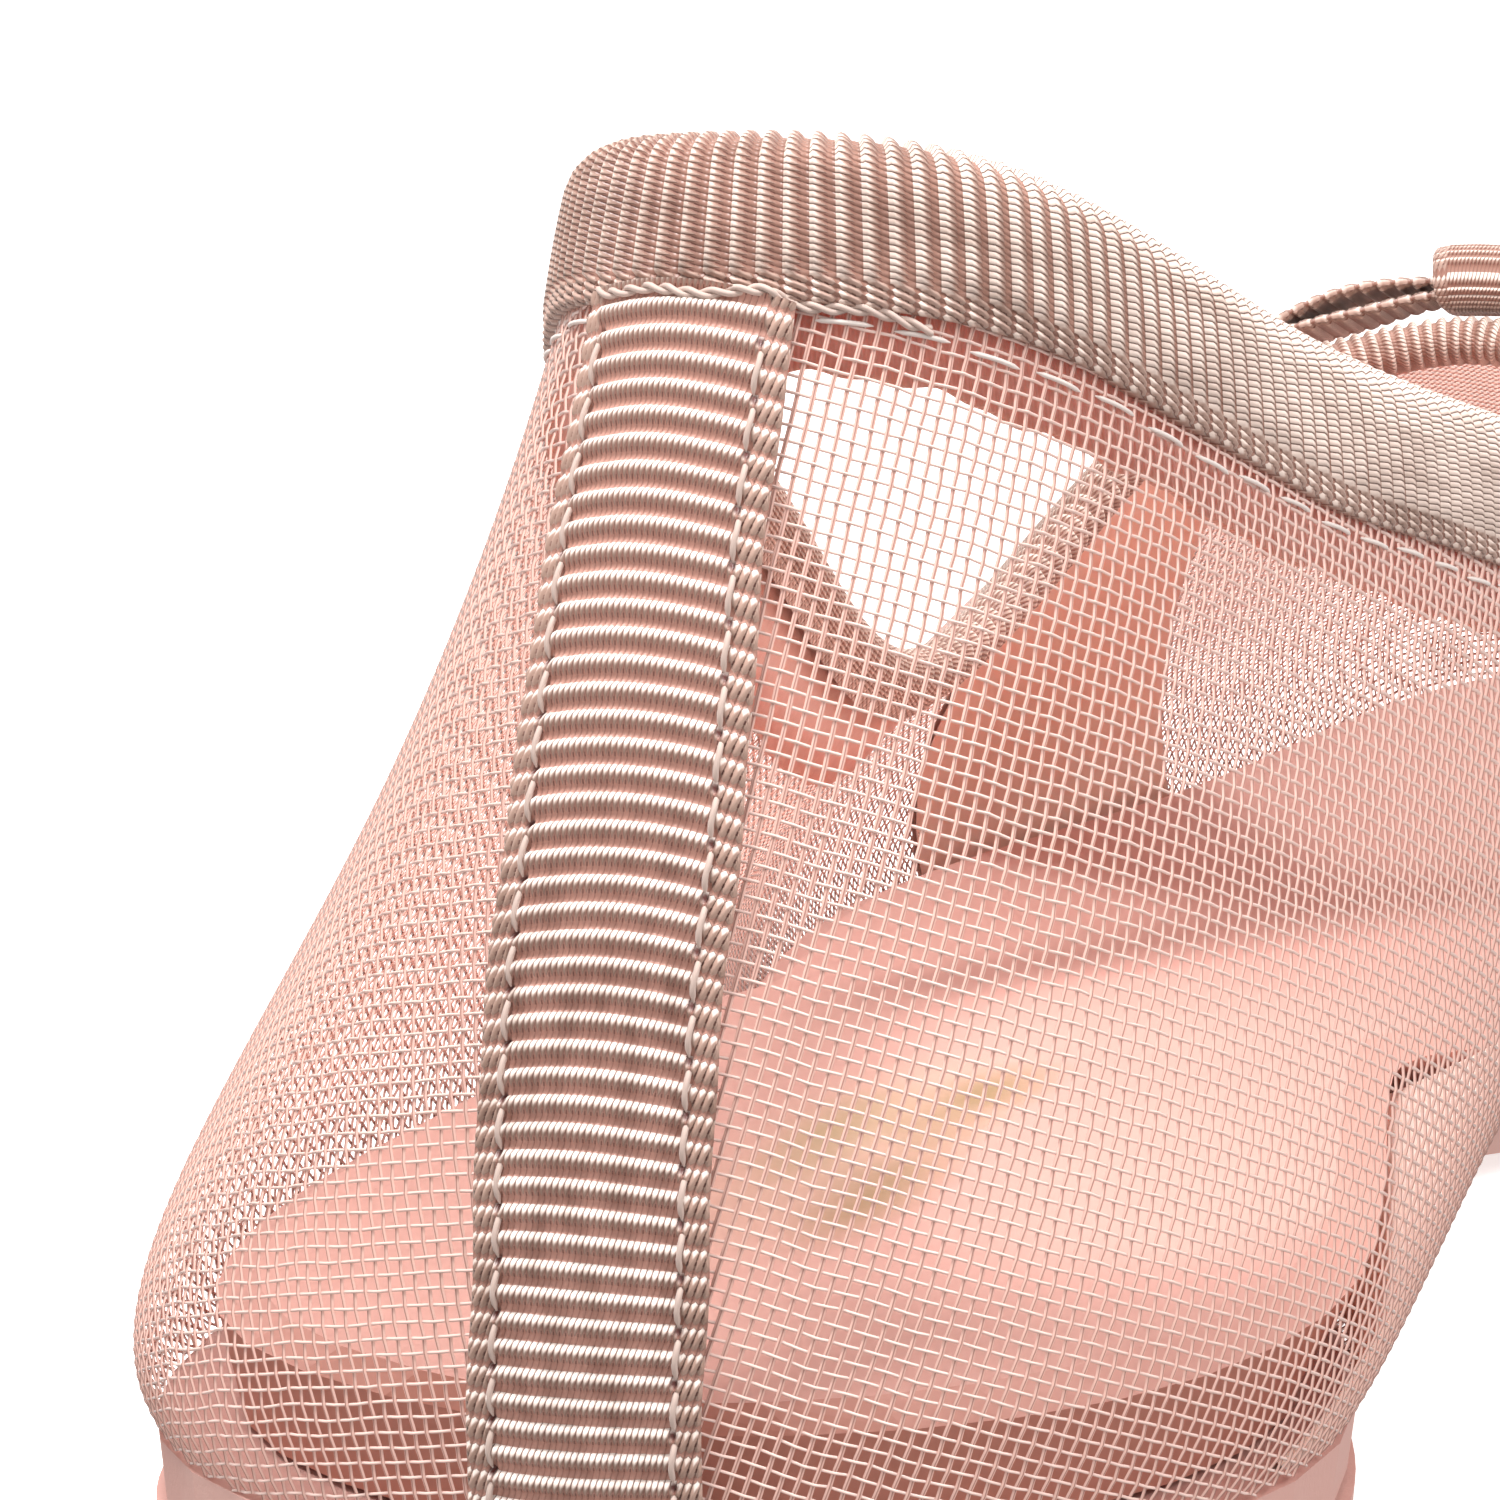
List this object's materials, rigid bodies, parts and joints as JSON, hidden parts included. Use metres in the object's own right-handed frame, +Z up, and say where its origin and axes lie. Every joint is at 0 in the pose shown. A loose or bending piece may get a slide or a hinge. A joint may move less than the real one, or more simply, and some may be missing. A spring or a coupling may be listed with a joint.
{
  "type": "ballet flat",
  "caption": "Ballet flat for the left foot: soft mesh upper with ribbon topline and back tape, small bow, thin sole and low heel.",
  "frame": {"origin": "on the floor, under the middle of the heel", "axes": "+Y to the toe, +X to the inner (medial) side of the left foot, +Z up"},
  "size_m": [0.0765, 0.2456, 0.0651],
  "materials": {
    "sole_rubber": "matt, fine cross grain",
    "heel_rubber": "matt",
    "insole_leather": "smooth, satin",
    "mesh_fabric": "open woven mesh over a sheer backing",
    "binding_ribbon": "ribbed ribbon with a slight sheen",
    "tape_ribbon": "ribbed ribbon, worn and soiled low down",
    "bow_ribbon": "ribbed ribbon"
  },
  "bodies": {
    "root": {"outsole": "sole_rubber", "heel": "heel_rubber", "insole": "insole_leather", "upper": "mesh_fabric", "topline_binding": "binding_ribbon", "heel_tape": "tape_ribbon", "bow_loop_inner": "bow_ribbon", "bow_loop_outer": "bow_ribbon", "bow_knot": "bow_ribbon"}
  },
  "joints": []
}
